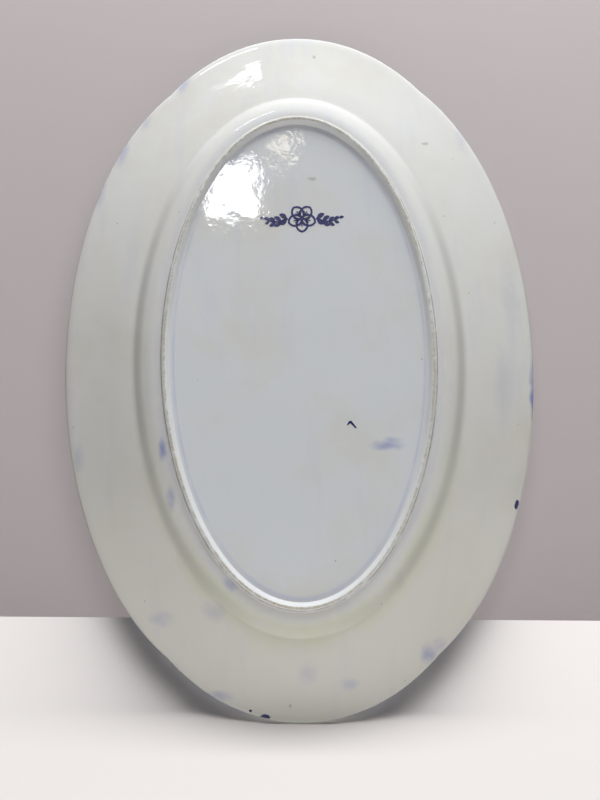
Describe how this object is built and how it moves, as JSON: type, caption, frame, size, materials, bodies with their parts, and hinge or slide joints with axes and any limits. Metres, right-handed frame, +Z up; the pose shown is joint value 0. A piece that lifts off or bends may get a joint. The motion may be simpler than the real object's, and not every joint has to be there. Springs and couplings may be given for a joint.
{
  "type": "serving platter",
  "caption": "Oval glazed earthenware serving platter with a wide sloping rim, a shallow well, a foot ring and blue printed decoration.",
  "frame": {"origin": "middle of the platter on the plane that the foot ring stands on", "axes": "+Z up out of the well, X along the platter's length, Y across it; the printed mark is underneath, towards +X"},
  "size_m": [0.45, 0.305, 0.036],
  "materials": {
    "glazed_body": "glossy lead-type glaze over white earthenware, faintly blue where it pools",
    "foot": "glossy glaze, thinner and a little warmer on the standing edge",
    "border_print": "cobalt transfer print under the glaze",
    "centre_print": "cobalt transfer print under the glaze",
    "backstamp": "dark cobalt transfer print under the glaze",
    "tally": "dark cobalt brush mark under the glaze"
  },
  "bodies": {
    "root": {"clay_body": "glazed_body", "foot_ring": "foot", "border_print_1": "border_print", "border_print_2": "border_print", "border_print_3": "border_print", "border_print_4": "border_print", "centre_print": "centre_print", "backstamp_print": "backstamp", "tally_mark": "tally"}
  },
  "joints": []
}
